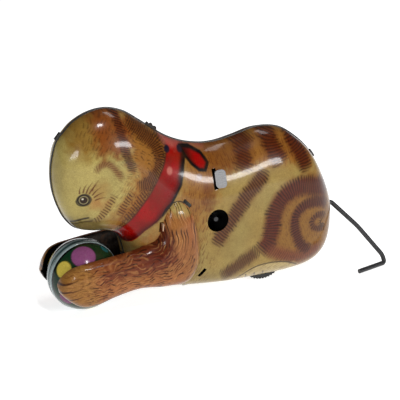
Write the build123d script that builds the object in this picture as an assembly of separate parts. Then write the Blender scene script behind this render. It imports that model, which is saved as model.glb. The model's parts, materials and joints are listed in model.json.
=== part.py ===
from build123d import *
import os
from math import asin, cos, degrees, hypot, pi, radians, sin, tan

# A clockwork tin cat that lies holding a ball between its front paws. Millimetres.
# The cat faces -X, its left side is -Y, and it stands on z = 0 on the ball and two drive wheels.
# Everything is drawn with x = 0 at the ball's centre and y = 0 on the seam of the body, then
# moved so that the origin lies under the middle of the whole toy.
SHIFT = (-88.54, 2.1, 0)

# Pressed tin
TIN = 0.7                 # wall of the body and arms
BALL_TIN = 0.6
SEAM_HIGH = 0.9           # how far the seam's rim stands out
SEAM_WIDE = 0.5           # its width on each half
ROUND = 14                # facets from the seam's lower edge over the side to its upper edge
KEYHOLE_R = 7.0
KEYHOLE = (79.7, 49.7)    # the winding arbor's x and z

# Ball
BALL_R = 21.4
AXLE_R = 1.2
RUNNING = 0.05            # radial clearance of a shaft in its hole

# Clockwork
PLATE_IN = 6.4            # inner face of each motor plate from y = 0
PLATE = 0.8
ARBOR_R = 1.95
KEY_END_R = 1.4           # where a key is pushed on
SHAFT_R = 1.0
WHEEL_R = 16.0
WHEEL_IN, WHEEL_OUT = 8.0, 10.9
GREAT = (44, 1.0)         # teeth, module
SECOND_PINION = (12, 1.0)
SECOND = (52, 0.8)
DRIVE_PINION = (12, 0.8)
GOVERNOR_PINION = (10, 0.8)
CROWN = (30, 0.8)
TAIL_PINION = (8, 0.8)
TO_SECOND = radians(-22.7)  # direction from the winding arbor to the second arbor
TO_GOVERNOR = radians(62)

# Tail
TAIL_R = 1.45
CRANK = radians(35)       # how far the tail's crank leans from straight down to the left


def turned(at, angle, reach):
    return (at[0] + reach * cos(angle), at[1] + reach * sin(angle))


def apart(wheel, pinion):
    return (wheel[0] + pinion[0]) * wheel[1] / 2


SECOND_AT = turned(KEYHOLE, TO_SECOND, apart(GREAT, SECOND_PINION))
TO_DRIVE = -asin((SECOND_AT[1] - WHEEL_R) / apart(SECOND, DRIVE_PINION))
DRIVE_AT = turned(SECOND_AT, TO_DRIVE, apart(SECOND, DRIVE_PINION))
GOVERNOR_AT = turned(SECOND_AT, TO_GOVERNOR, apart(SECOND, GOVERNOR_PINION))
TAIL_Z = SECOND_AT[1]

# The body's left half as cross-sections, from the muzzle to the rump: x and z of the lower and
# the upper end on the seam, then how far the half bulges from the seam between them.
BODY = [
    ((-18.0, 85.6), (-18.0, 88.6), 1.4), ((-17.6, 80.3), (-17.5, 94.0), 4.4),
    ((-16.5, 74.4), (-16.0, 100.8), 7.8), ((-14.4, 67.8), (-13.7, 107.2), 11.2),
    ((-10.6, 59.8), (-9.0, 112.6), 14.2), ((-4.4, 52.9), (-3.0, 117.9), 16.8),
    ((3.8, 50.2), (6.4, 122.1), 18.8), ((13.0, 48.9), (16.6, 123.2), 19.8),
    ((20.5, 45.8), (27.5, 119.9), 20.0), ((24.6, 40.6), (37.0, 113.5), 20.0),
    ((26.8, 33.0), (45.8, 106.9), 20.2), ((28.8, 23.5), (54.6, 100.8), 20.8),
    ((33.0, 14.4), (63.2, 96.6), 21.4), ((42.5, 8.0), (71.5, 94.0), 21.8),
    ((57.5, 4.6), (80.4, 92.5), 22.2), ((76.0, 3.2), (90.5, 92.5), 22.4),
    ((96.0, 2.5), (102.0, 94.5), 22.5), ((116.0, 2.3), (116.5, 97.4), 22.4),
    ((131.5, 2.5), (131.5, 95.0), 21.8), ((144.4, 3.6), (143.8, 86.7), 20.2),
    ((154.0, 6.2), (153.2, 76.8), 17.6), ((160.8, 11.4), (160.0, 64.6), 14.0),
    ((165.0, 19.5), (164.8, 53.0), 10.0), ((167.2, 28.0), (167.2, 45.4), 5.8),
    ((168.2, 35.2), (168.2, 39.2), 1.6),
]


# The left arm's cross-sections, from the shoulder to the paw's tip: x and z of its inner edge
# and of its outer edge, then y at the open rim and y at the outside.
ARM = [
    ((52.0, 66.6), (54.6, 66.4), -17.0, -20.2), ((46.4, 62.0), (60.4, 61.6), -17.0, -23.6),
    ((43.4, 54.8), (65.4, 53.4), -17.0, -26.0), ((41.6, 48.2), (67.8, 40.4), -17.0, -27.6),
    ((38.6, 43.6), (68.0, 24.6), -17.0, -28.3), ((32.8, 40.6), (61.0, 13.6), -17.6, -28.3),
    ((24.6, 38.8), (46.0, 12.6), -18.4, -27.8), ((12.4, 37.7), (28.3, 14.4), -18.8, -27.0),
    ((0.4, 36.5), (12.4, 11.8), -18.6, -26.4), ((-8.6, 35.4), (1.6, 8.8), -18.4, -25.8),
    ((-14.8, 33.2), (-7.6, 8.6), -16.9, -24.6), ((-18.8, 28.8), (-14.6, 12.4), -14.4, -22.4),
    ((-20.9, 24.0), (-19.4, 17.2), -12.6, -19.0), ((-21.4, 21.9), (-21.1, 20.7), -14.4, -16.2),
]
ARM_FULL = (2.4, 2.4)     # fullness of the ovals' lower and upper halves: 2 is an ellipse


def refined(sections, times):
    """The same sections with others between them, on curves that run through all of them."""
    rows = [(*low, *high, *rest) for low, high, *rest in sections]
    rows = [rows[0]] + rows + [rows[-1]]
    out = []
    for a, b, c, d in zip(rows, rows[1:], rows[2:], rows[3:]):
        for k in range(times):
            t = k / times
            out.append([0.5 * (2 * q + (r - p) * t + (2 * p - 5 * q + 4 * r - s) * t * t
                               + (3 * q - p - 3 * r + s) * t ** 3)
                        for p, q, r, s in zip(a, b, c, d)])
    out.append(rows[-1])
    return [((r[0], r[1]), (r[2], r[3]), *r[4:]) for r in out]


def body_full(x):
    """Fullness of the body's ovals, whose lower halves are squarer under the belly."""
    return 2.5 + 0.9 * min(max((x - 60) / 30, 0), 1), 2.05


def drawn_in(sections, by):
    """The same sections with both ends moved inwards, square to the outline they make."""
    loop = [s[0] for s in sections] + [s[1] for s in sections[::-1]]
    moved = []
    for i, (x, z) in enumerate(loop):
        (x0, z0), (x1, z1) = loop[i - 1], loop[(i + 1) % len(loop)]
        size = hypot(x1 - x0, z1 - z0)
        moved.append(Vector(x - by * (z1 - z0) / size, 0, z + by * (x1 - x0) / size))
    return [(moved[i], moved[-1 - i]) for i in range(len(sections))]


def oval(low, high, rim, out, full):
    """Points of a half oval from low to high, open at y = rim and bulging to y = out."""
    middle, along = (low + high) * 0.5, (high - low) * 0.5
    points = []
    for i in range(ROUND + 1):
        a = -pi / 2 + pi * i / ROUND
        power = 2 / (full[0] if a < 0 else full[1])
        up = abs(sin(a)) ** power * (1 if a > 0 else -1)
        side = max(cos(a), 0) ** power
        points.append(middle + along * up + Vector(0, rim + (out - rim) * side, 0))
    return points


def stacked(loops):
    """A solid of flat facets through closed loops of points, each joined to the next."""
    faces = [Face(Wire.make_polygon(loops[0])), Face(Wire.make_polygon(loops[-1]))]
    for one, two in zip(loops, loops[1:]):
        for i in range(len(one)):
            faces.append(Face(Wire.make_polygon([one[i - 1], one[i], two[i]])))
            faces.append(Face(Wire.make_polygon([one[i - 1], two[i], two[i - 1]])))
    return Solid(Shell(faces))


def pressing(sections, wall, lip=0.0, lip_wide=0.0):
    """A pressed half shell: walls between outer and inner ovals, with a lip at the open rim."""
    inner, lipped = drawn_in(sections, wall), drawn_in(sections, -lip)
    loops = []
    for i, (low, high, rim, out, full) in enumerate(sections):
        low, high = Vector(low[0], 0, low[1]), Vector(high[0], 0, high[1])
        ins, (foot, top) = inner[i], lipped[i]
        if i in (0, len(sections) - 1):
            ins = (low * 0.75 + high * 0.25, low * 0.25 + high * 0.75)
            out_by = (high - low).normalized() * lip
            foot, top = low - out_by, high + out_by
        loop = oval(low, high, rim - lip_wide, out, full)
        back = oval(*ins, rim, out + wall, full)[::-1]
        if lip:
            loop += [top + Vector(0, rim - lip_wide, 0), top + Vector(0, rim, 0)]
            back += [foot + Vector(0, rim, 0), foot + Vector(0, rim - lip_wide, 0)]
        loops.append(loop + back)
    return stacked(loops)


def filled(sections):
    """The space inside a pressing's outer surface, closed at its rim."""
    return stacked([oval(Vector(low[0], 0, low[1]), Vector(high[0], 0, high[1]), rim, out, full)
                    for low, high, rim, out, full in sections])


def drum(x, z, r, y0, y1):
    """A cylinder about the Y direction at x and z, from y0 to y1."""
    return Pos(x, (y0 + y1) / 2, z) * Rot(90, 0, 0) * Cylinder(r, abs(y1 - y0))


def block(x0, x1, y0, y1, z0, z1):
    return Pos((x0 + x1) / 2, (y0 + y1) / 2, (z0 + z1) / 2) * Box(x1 - x0, y1 - y0, z1 - z0)


def mirrored(solid):
    return mirror(solid, about=Plane.XZ)


def gear_outline(teeth, module, turn, thick=0.41):
    """Corners of a spur gear with a tooth centred on the direction turn (radians)."""
    pitch_r = teeth * module / 2
    half = thick * pi * module / 2
    rows = [(-1.15, half + 0.25 * module), (0, half), (0.8, half - 0.33 * module)]
    points = []
    for i in range(teeth):
        for side, steps in ((-1, rows), (1, rows[::-1])):
            for out, width in steps:
                r = pitch_r + out * module
                a = turn + 2 * pi * i / teeth + side * width / r
                points.append((r * cos(a), r * sin(a)))
    return points


def gear(spec, at, turn, y0, y1, bore, thick=0.41):
    flat = make_face(Polyline(gear_outline(*spec, turn, thick), close=True))
    flat -= Circle(bore)
    return Pos(at[0], max(y0, y1), at[1]) * (Plane.XZ * extrude(flat, abs(y1 - y0)))


def meshed(wheel, wheel_turn, pinion, towards):
    """The pinion's turn that puts a gap where the wheel's nearest tooth stands."""
    pitch = 2 * pi / wheel[0]
    lag = (towards - wheel_turn) % pitch
    return towards + pi + lag * wheel[0] / pinion[0] + pi / pinion[0]


parts = {}

# Body: two pressed halves that meet on a lip along the seam
half_body = [(low, high, 0, -half, body_full(low[0])) for low, high, half in refined(BODY, 2)]
half_shell = pressing(half_body, TIN, SEAM_HIGH, SEAM_WIDE)
wheel_slot = block(DRIVE_AT[0] - 14.5, DRIVE_AT[0] + 14.5, -WHEEL_OUT - 1, 1 - WHEEL_IN, 0, 20)
tail_hole = Pos(168, 0, TAIL_Z) * Rot(0, 90, 0) * Cylinder(3.5, 12)
half_shell = half_shell - wheel_slot - tail_hole

# Feet of the motor plates pass through the belly
FEET = ((63, 69, 4.3), (89, 95, 3.0))     # x from, x to, lower end
for x0, x1, low in FEET:
    half_shell -= block(x0 - 0.4, x1 + 0.4, -PLATE_IN - PLATE - 0.4, 0.4 - PLATE_IN, 0, 8)

# Arms: hollow pressings trimmed where they meet the body. The front tab of each arm stands in
# its slot; the upper and lower slots are open.
arm = pressing([(*section, ARM_FULL) for section in refined(ARM, 2)], TIN) - filled(half_body)
for x, z, lean in ((42.6, 51.6, 6), (59.8, 63.7, -44), (70.9, 15.9, 36)):
    half_shell -= Pos(x, -20, z) * Rot(0, lean, 0) * Box(2.2, 10, 6.2)
arm += Pos(43.4, -20.5, 51.6) * Rot(0, 6, 0) * Box(0.5, 5, 4.4)
cup = drum(0, BALL_R, 2.4, -BALL_R - 0.9, -25.9) - drum(0, BALL_R, AXLE_R, -BALL_R, -25.3)
arm += cup
parts["left_arm"], parts["right_arm"] = arm, mirrored(arm)
parts["right_body_shell"] = mirrored(half_shell)

# The left half also has the keyhole and the lever's slot
left_shell = half_shell - drum(*KEYHOLE, KEYHOLE_R, -30, -12)
left_shell -= block(78.4, 81.0, -26, -10, 68.8, 80.8)
parts["left_body_shell"] = left_shell

# Bent tin clips that grip both lips of the seam
clip = Pos(0, 0, 0.25) * Box(5.2, 2.0, 1.5) - Pos(0, 0, -0.35) * Box(6, 1.2, 2.1)
clips = Part()
for x, z, lean in ((155.6, 74.2, 56), (26.7, 28.4, -102), (-12.8, 110.1, -49)):
    clips += Pos(x, 0, z) * Rot(0, lean, 0) * clip
parts["seam_clips"] = clips - parts["left_body_shell"] - parts["right_body_shell"]

# Stub of the lost ear, clinched on the head's seam
torn = [(-4.6, 0), (-4.2, 1.9), (-2.6, 1.1), (-1.4, 2.6), (0.4, 1.4), (2.2, 2.3), (3.4, 0.9), (4.8, 0)]
stub = Plane.XZ * extrude(make_face(Polyline(torn, close=True)), 1.1, both=True)
stub = Pos(45.9, 0, 106.9) * Rot(0, 38, 0) * stub
parts["ear_stub"] = stub - parts["left_body_shell"] - parts["right_body_shell"]

# Ball: two halves with a flat band where they meet, turning on an axle between the paws
dome = Sphere(BALL_R) - Sphere(BALL_R - BALL_TIN)
dome = dome & block(-30, 30, -30, -3.2, -30, 30)
band = drum(0, 0, BALL_R, -3.25, 0) - drum(0, 0, BALL_R - 0.8, -3.25, 0)
hub = drum(0, 0, 2.6, 0.5 - BALL_R, 10 - BALL_R)
ball_half = (dome + band + hub) - drum(0, 0, AXLE_R + RUNNING, -30, 0)
ball_half = Pos(0, 0, BALL_R) * ball_half
parts["ball_half_left"], parts["ball_half_right"] = ball_half, mirrored(ball_half)
parts["ball_axle"] = drum(0, BALL_R, AXLE_R, -25.2, 25.2)

# Gear train: each pinion is turned so that it meshes with the wheel before it
parts["great_wheel"] = gear(GREAT, KEYHOLE, TO_SECOND, -5.6, -4.6, ARBOR_R + RUNNING)
pinion_turn = meshed(GREAT, TO_SECOND, SECOND_PINION, TO_SECOND)
parts["second_pinion"] = gear(SECOND_PINION, SECOND_AT, pinion_turn, -5.8, -4.3, SHAFT_R)
parts["second_wheel"] = gear(SECOND, SECOND_AT, TO_DRIVE, 4.9, 5.7, SHAFT_R)
parts["second_arbor"] = drum(*SECOND_AT, SHAFT_R, -7.9, 7.9)
drive_turn = meshed(SECOND, TO_DRIVE, DRIVE_PINION, TO_DRIVE)
parts["drive_pinion"] = gear(DRIVE_PINION, DRIVE_AT, drive_turn, 4.7, 6.0, SHAFT_R)
parts["drive_axle"] = drum(*DRIVE_AT, SHAFT_R, -11.5, 11.5)
governor_turn = meshed(SECOND, TO_DRIVE, GOVERNOR_PINION, TO_GOVERNOR)
parts["governor_pinion"] = gear(GOVERNOR_PINION, GOVERNOR_AT, governor_turn, 4.7, 6.0, 0.8)
parts["governor_arbor"] = drum(*GOVERNOR_AT, 0.8, -8.4, 7.8)
flywheel = drum(*GOVERNOR_AT, 7.0, -2.5, 0.5) - drum(*GOVERNOR_AT, 0.8, -3, 1)
recess = drum(*GOVERNOR_AT, 5.6, -3, -1.6) - drum(*GOVERNOR_AT, 2, -3, -1.6)
parts["governor_flywheel"] = flywheel - recess

# Drive wheels with saw-cut treads
tread = []
for i in range(96):
    tread.append(turned((0, 0), 2 * pi * (i + 0.1 * (i % 2)) / 96, WHEEL_R - 0.7 * (i % 2)))
disc = make_face(Polyline(tread, close=True)) - Circle(SHAFT_R)
wheel = Plane.XZ * extrude(disc, WHEEL_OUT - WHEEL_IN)
wheel = Pos(DRIVE_AT[0], -WHEEL_IN, DRIVE_AT[1]) * wheel
for i in range(5):
    x, z = turned(DRIVE_AT, 2 * pi * i / 5, 9)
    wheel -= drum(x, z, 2.6, -WHEEL_OUT - 1, 1 - WHEEL_IN)
parts["drive_wheel_left"], parts["drive_wheel_right"] = wheel, mirrored(wheel)

# Crown wheel beside the second wheel: square teeth on its face drive the tail's pinion
crown = drum(*SECOND_AT, 13.2, 4.2, 4.9) - drum(*SECOND_AT, SHAFT_R, 4, 5)
for i in range(CROWN[0]):
    angle = 2 * pi * i / CROWN[0]
    x, z = turned(SECOND_AT, angle, 11.9)
    crown += Pos(x, 3.4, z) * Rot(0, -degrees(angle), 0) * Box(2.4, 1.8, 0.7)
parts["crown_wheel"] = crown
flat = make_face(Polyline(gear_outline(*TAIL_PINION, pi / 8, 0.36), close=True)) - Circle(TAIL_R)
parts["tail_pinion"] = Pos(116.1, 0, TAIL_Z) * (Plane.YZ * extrude(flat, 3.2))

# Tail: one wire that runs from the crown wheel out of the rump and is bent into a crank
def on_crank(x, r):
    return Vector(x, -r * sin(CRANK), TAIL_Z - r * cos(CRANK))


def bent(points, radii):
    """Straight runs through the points, joined by tangent arcs of these radii."""
    edges, last = [], points[0]
    for before, corner, after, r in zip(points, points[1:], points[2:], radii):
        u, v = (corner - before).normalized(), (after - corner).normalized()
        half = radians(u.get_angle(v)) / 2
        start, end = corner - u * r * tan(half), corner + v * r * tan(half)
        middle = corner + (v - u).normalized() * r * (1 / cos(half) - 1)
        edges += [Edge.make_line(last, start), Edge.make_three_point_arc(start, middle, end)]
        last = end
    return Wire(edges + [Edge.make_line(last, points[-1])])


route = [on_crank(112, 0), on_crank(171.2, 0), on_crank(185.0, 18.5), on_crank(196.9, 40.0),
         on_crank(197.0, 45.2), Vector(175.0, -31.2, 1.9)]
tail = sweep(Plane(route[0], z_dir=(1, 0, 0)) * Circle(TAIL_R), bent(route, (3.4, 40, 8, 2.2)))
parts["tail_wire"] = tail
parts["tail_bearing"] = block(128, 129.4, -PLATE_IN, PLATE_IN, 33, 45) - (
    Pos(128, 0, TAIL_Z) * Rot(0, 90, 0) * Cylinder(TAIL_R + RUNNING, 6))

# Motor frame: two plates held apart by four riveted pillars
PILLARS = ((60, 28), (64, 72), (124.5, 70.5), (124.5, 24))
LEVER_PIVOT = (101, 70)
outline = [(55, 24), (57, 74), (62, 77), (126, 75.5), (130, 70), (130, 20), (124, 11), (106, 9),
           (82, 20)]
plate = Plane.XZ * extrude(make_face(Polyline(outline, close=True)), PLATE)
plate = Pos(0, -PLATE_IN, 0) * plate
for x0, x1, low in FEET:
    plate += block(x0, x1, -PLATE_IN - PLATE, -PLATE_IN, low, 30)
bearings = ((KEYHOLE, ARBOR_R), (SECOND_AT, SHAFT_R), (DRIVE_AT, SHAFT_R), (GOVERNOR_AT, 0.8))
for at, r in bearings:
    plate -= drum(*at, r + RUNNING, -9, -5)
for at in PILLARS:
    plate -= drum(*at, 1.0, -9, -5)
pillars = Part()
for at in PILLARS:
    pillars += drum(*at, 1.7, -PLATE_IN, PLATE_IN) + drum(*at, 1.0, -7.2, 7.2)
    pillars += drum(*at, 1.8, -7.7, -7.2) + drum(*at, 1.8, 7.2, 7.7)
parts["pillars"] = pillars
parts["motor_plate_right"] = mirrored(plate)
parts["motor_plate_left"] = plate - drum(*LEVER_PIVOT, 1.2, -9, -5)

# Mainspring, its arbor, and the ratchet that lets the key wind it
def spiral_points(inner_r, outer_r, turns=7, steps=84):
    return [turned((0, 0), 2 * pi * turns * i / steps, inner_r + (outer_r - inner_r) * i / steps)
            for i in range(steps + 1)]


spiral, wide = spiral_points(2.1, 17.0), spiral_points(2.5, 17.4)
coil = make_face(Wire([Edge.make_spline(spiral), Edge.make_line(spiral[-1], wide[-1]),
                       Edge.make_spline(wide[::-1]), Edge.make_line(wide[0], spiral[0])]))
parts["mainspring"] = Pos(KEYHOLE[0], 1.6, KEYHOLE[1]) * (Plane.XZ * extrude(coil, 4.8))
key_end = drum(*KEYHOLE, KEY_END_R, -19.6, -8.2)
parts["winding_arbor"] = drum(*KEYHOLE, ARBOR_R, -8.2, 7.9) + key_end
saw = []
for i in range(12):
    saw += [turned((0, 0), 2 * pi * i / 12, 6.0), turned((0, 0), 2 * pi * (i + 0.04) / 12, 4.9)]
ratchet = Plane.XZ * extrude(make_face(Polyline(saw, close=True)) - Circle(ARBOR_R), 0.9)
parts["ratchet_wheel"] = Pos(KEYHOLE[0], -3.5, KEYHOLE[1]) * ratchet

# Click: a pawl riveted to the great wheel that drops behind the ratchet's teeth
CLICK_PIVOT = (KEYHOLE[0] - 8.5, KEYHOLE[1] + 7.5)
pawl = [(-0.3, 5.2), (-0.3, 6.7), (-7.4, 9.3), (-9.6, 8.0), (-8.6, 6.0), (-1.6, 5.65)]
click = Plane.XZ * extrude(make_face(Polyline(pawl, close=True)), 0.75)
click = Pos(KEYHOLE[0], -3.7, KEYHOLE[1]) * click + drum(*CLICK_PIVOT, 1.9, -4.45, -3.7)
parts["click"] = click - drum(*CLICK_PIVOT, 0.8 + RUNNING, -5, -3)
parts["click_rivet"] = (drum(*CLICK_PIVOT, 0.8, -5.7, -3.6) + drum(*CLICK_PIVOT, 1.4, -3.6, -3.4)
                        + drum(*CLICK_PIVOT, 1.4, -5.9, -5.6))
parts["great_wheel"] -= drum(*CLICK_PIVOT, 0.8, -6, -4)

# Stop lever: a strip on the left plate with a brake shoe over the governor's arbor and a thumb
# tab that comes out through the body's slot and lies along its surface
lever = Plane.XZ * extrude(make_face(Polyline([
    (79.2, 67.8), (79.2, 73.9), (101, 73), (116, 66.6), (120, 66.2), (120, 63.6), (114, 63.6),
    (101, 67)], close=True)), 0.8)
lever = Pos(0, -7.5, 0) * lever + drum(*LEVER_PIVOT, 3.4, -8.3, -7.5)
thumb = Pos(82.8, -19.4, 75) * Rot(-20, 0, 0)
pad = Box(7.2, 0.6, 11)
lever += thumb * fillet(pad.edges().filter_by(Axis.Y), 2.4)
lever += thumb * Pos(-3.2, 5.6, 0) * Box(0.8, 11.2, 6)
parts["stop_lever"] = lever - drum(*LEVER_PIVOT, 1.2 + RUNNING, -9, -7)
parts["lever_rivet"] = drum(*LEVER_PIVOT, 1.2, -8.5, -6.4) + drum(*LEVER_PIVOT, 2.2, -8.9, -8.5)

os.makedirs("parts", exist_ok=True)
for name, solid in parts.items():
    export_step(Pos(*SHIFT) * solid, f"parts/{name}.step")
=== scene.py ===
import bpy
import json
import math
import numpy as np
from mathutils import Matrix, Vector


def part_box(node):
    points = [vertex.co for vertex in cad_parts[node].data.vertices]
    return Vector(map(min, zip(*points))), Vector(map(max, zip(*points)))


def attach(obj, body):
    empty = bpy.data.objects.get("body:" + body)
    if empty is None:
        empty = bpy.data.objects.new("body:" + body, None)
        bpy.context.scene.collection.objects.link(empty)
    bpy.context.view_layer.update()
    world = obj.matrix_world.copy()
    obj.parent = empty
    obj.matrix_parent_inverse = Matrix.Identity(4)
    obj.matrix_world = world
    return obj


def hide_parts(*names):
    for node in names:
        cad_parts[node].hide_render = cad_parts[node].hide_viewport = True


# The looks of a clockwork tin cat. Metres in the frame of the CAD; the printed shells are drawn in
# millimetres with x = 0 at the ball's centre and y = 0 on the body's seam, then moved by ORIGIN.
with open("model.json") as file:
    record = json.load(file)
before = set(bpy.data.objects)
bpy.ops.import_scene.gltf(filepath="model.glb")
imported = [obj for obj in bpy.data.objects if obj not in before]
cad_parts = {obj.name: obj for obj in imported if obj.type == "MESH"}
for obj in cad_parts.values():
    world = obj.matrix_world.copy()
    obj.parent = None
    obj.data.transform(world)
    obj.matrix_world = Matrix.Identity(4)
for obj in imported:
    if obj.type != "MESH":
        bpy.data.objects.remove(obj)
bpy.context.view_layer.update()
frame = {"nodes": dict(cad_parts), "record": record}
NODES = frame["nodes"]
FINE = 1.0     # mesh steps are this many times longer than usual

TIN = 0.7                 # wall of the body and the front legs
SEAM_WIDE = 0.5           # each half's share of the seam's rim
SEAM_HIGH = 0.76          # how far the rim stands out
BALL_R = 21.4
BALL_TIN = 0.6
AXLE_HOLE_R = 1.3
KEYHOLE_R = 7.0


def middle(node):
    """The middle of a CAD node's box, in millimetres."""
    low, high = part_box(node)
    return (Vector(low) + Vector(high)) / 2 * 1000


ball_mid = middle("ball_axle")
ORIGIN = np.array([ball_mid.x, ball_mid.y, ball_mid.z - BALL_R])

# ---------------------------------------------------------------- section tables
# The body's left half as cross-sections, from the muzzle to the rump: x and z of the lower and
# the upper end on the seam, then how far the half bulges from the seam between them.
BODY = [
    ((-18.0, 85.6), (-18.0, 88.6), 1.4), ((-17.6, 80.3), (-17.5, 94.0), 4.4),
    ((-16.5, 74.4), (-16.0, 100.8), 7.8), ((-14.4, 67.8), (-13.7, 107.2), 11.2),
    ((-10.6, 59.8), (-9.0, 112.6), 14.2), ((-4.4, 52.9), (-3.0, 117.9), 16.8),
    ((3.8, 50.2), (6.4, 122.1), 18.8), ((13.0, 48.9), (16.6, 123.2), 19.8),
    ((20.5, 45.8), (27.5, 119.9), 20.0), ((24.6, 40.6), (37.0, 113.5), 20.0),
    ((26.8, 33.0), (45.8, 106.9), 20.2), ((28.8, 23.5), (54.6, 100.8), 20.8),
    ((33.0, 14.4), (63.2, 96.6), 21.4), ((42.5, 8.0), (71.5, 94.0), 21.8),
    ((57.5, 4.6), (80.4, 92.5), 22.2), ((76.0, 3.2), (90.5, 92.5), 22.4),
    ((96.0, 2.5), (102.0, 94.5), 22.5), ((116.0, 2.3), (116.5, 97.4), 22.4),
    ((131.5, 2.5), (131.5, 95.0), 21.8), ((144.4, 3.6), (143.8, 86.7), 20.2),
    ((154.0, 6.2), (153.2, 76.8), 17.6), ((160.8, 11.4), (160.0, 64.6), 14.0),
    ((165.0, 19.5), (164.8, 53.0), 10.0), ((167.2, 28.0), (167.2, 45.4), 5.8),
    ((168.2, 35.2), (168.2, 39.2), 1.6),
]

# The left front leg's cross-sections, from the shoulder to the paw's tip: x and z of its inner edge
# and of its outer edge, then y at the open rim and y at the outside.
ARM = [
    ((52.0, 66.6), (54.6, 66.4), -17.0, -20.2), ((46.4, 62.0), (60.4, 61.6), -17.0, -23.6),
    ((43.4, 54.8), (65.4, 53.4), -17.0, -26.0), ((41.6, 48.2), (67.8, 40.4), -17.0, -27.6),
    ((38.6, 43.6), (68.0, 24.6), -17.0, -28.3), ((32.8, 40.6), (61.0, 13.6), -17.6, -28.3),
    ((24.6, 38.8), (46.0, 12.6), -18.4, -27.8), ((12.4, 37.7), (28.3, 14.4), -18.8, -27.0),
    ((0.4, 36.5), (12.4, 11.8), -18.6, -26.4), ((-8.6, 35.4), (1.6, 8.8), -18.4, -25.8),
    ((-14.8, 33.2), (-7.6, 8.6), -16.9, -24.6), ((-18.8, 28.8), (-14.6, 12.4), -14.4, -22.4),
    ((-20.9, 24.0), (-19.4, 17.2), -12.6, -19.0), ((-21.4, 21.9), (-21.1, 20.7), -14.4, -16.2),
]


def body_full(x):
    """Fullness of the ovals' lower and upper halves: 2 is an ellipse, more is squarer."""
    return 2.5 + 0.9 * min(max((x - 60) / 30, 0), 1), 2.05


def arm_full(x):
    return 2.4, 2.4


# ---------------------------------------------------------------- surfaces
def refined(rows, step):
    """Rows between the given ones on curves through them, about step millimetres apart."""
    r = np.array(rows, float)
    r = np.vstack([r[0], r, r[-1]])
    out = []
    for a, b, c, d in zip(r, r[1:], r[2:], r[3:]):
        reach = max(np.hypot(*(c[0:2] - b[0:2])), np.hypot(*(c[2:4] - b[2:4])))
        n = max(2, int(math.ceil(reach / step)))
        for k in range(n):
            t = k / n
            out.append(0.5 * (2 * b + (c - a) * t + (2 * a - 5 * b + 4 * c - d) * t * t
                              + (3 * b - a - 3 * c + d) * t ** 3))
    out.append(r[-2])
    return np.array(out)


def sheet_of(rows, full, around, rim_shift=0.0):
    """A grid of points: one half oval per row, evenly spaced from its lower to its upper end.

    full gives the ovals' fullness at an x, and rim_shift moves their open rims in y."""
    a = np.linspace(-math.pi / 2, math.pi / 2, 901)
    grid = []
    for lx, lz, hx, hz, rim, out in rows:
        below, above = full(lx)
        power = np.where(a < 0, 2 / below, 2 / above)
        up = np.abs(np.sin(a)) ** power * np.sign(a)
        side = np.clip(np.cos(a), 0, 1) ** power
        rim = rim + rim_shift
        p = np.stack([(lx + hx) / 2 + (hx - lx) / 2 * up, rim + (out - rim) * side,
                      (lz + hz) / 2 + (hz - lz) / 2 * up], 1)
        run = np.concatenate([[0], np.cumsum(np.linalg.norm(np.diff(p, axis=0), axis=1))])
        want = np.linspace(0, run[-1], around + 1)
        grid.append(np.stack([np.interp(want, run, p[:, i]) for i in range(3)], 1))
    return np.array(grid)


body_rows = refined([(*a, *b, 0, -h) for a, b, h in BODY], 0.5 * FINE)
body_grid = sheet_of(body_rows, body_full, int(240 / FINE), -SEAM_WIDE)
arm_rows = refined([(*a, *b, r, o) for a, b, r, o in ARM], 0.42 * FINE)
arm_grid = sheet_of(arm_rows, arm_full, int(140 / FINE))


def depth_of_body(x, z):
    """How far the body's left side stands out from the seam at x and z (millimetres)."""
    lo, hi = body_rows[:, 0:2], body_rows[:, 2:4]
    mid, half = (lo + hi) / 2, (hi - lo) / 2
    near = 1.6            # rows this close to the point count
    best = np.zeros_like(x)
    for k in range(0, len(body_rows) - 1, 2):
        h = half[k]
        size = np.hypot(*h)
        along = ((x - mid[k, 0]) * h[0] + (z - mid[k, 1]) * h[1]) / size ** 2
        off = np.abs((x - mid[k, 0]) * h[1] - (z - mid[k, 1]) * h[0]) / size
        u = np.abs(along)
        below, above = body_full(lo[k, 0])
        full = np.where(along < 0, below, above)
        y = np.where(u < 1, -body_rows[k, 5] * (1 - np.clip(u, 0, 1) ** full) ** (1 / full), 0)
        best = np.maximum(best, np.where(off < near, y, 0))
    return best


# ---------------------------------------------------------------- paint
def lin(r, g, b):
    """A colour of 0 to 255 in linear light."""
    return np.array([((c / 255 + 0.055) / 1.055) ** 2.4 if c > 10 else c / 255 / 12.92
                     for c in (r, g, b)])


def to_line(x, z, points, closed=False):
    """Distance to a polyline, how far along it the nearest point lies, and the side of it."""
    pts = np.array(points, float)
    if closed:
        pts = np.vstack([pts, pts[:1]])
    best, along, side, base = np.full(x.shape, 1e9), np.zeros_like(x), np.zeros_like(x), 0.0
    for (x0, z0), (x1, z1) in zip(pts, pts[1:]):
        dx, dz = x1 - x0, z1 - z0
        size = math.hypot(dx, dz) + 1e-9
        t = np.clip(((x - x0) * dx + (z - z0) * dz) / size ** 2, 0, 1)
        d = np.hypot(x - x0 - t * dx, z - z0 - t * dz)
        near = d < best
        along = np.where(near, base + t * size, along)
        side = np.where(near, np.sign((x - x0) * dz - (z - z0) * dx), side)
        best = np.where(near, d, best)
        base += size
    return best, along, side


def smooth_line(points, n=6):
    """A curve through all the points, with n steps between neighbours."""
    rows = [(p[0], p[1], p[0], p[1]) for p in points]
    r = np.array([rows[0]] + rows + [rows[-1]], float)
    out = []
    for a, b, c, d in zip(r, r[1:], r[2:], r[3:]):
        for k in range(n):
            t = k / n
            out.append((0.5 * (2 * b + (c - a) * t + (2 * a - 5 * b + 4 * c - d) * t * t
                               + (3 * b - a - 3 * c + d) * t ** 3))[:2])
    out.append(r[-2][:2])
    return np.array(out)


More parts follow.
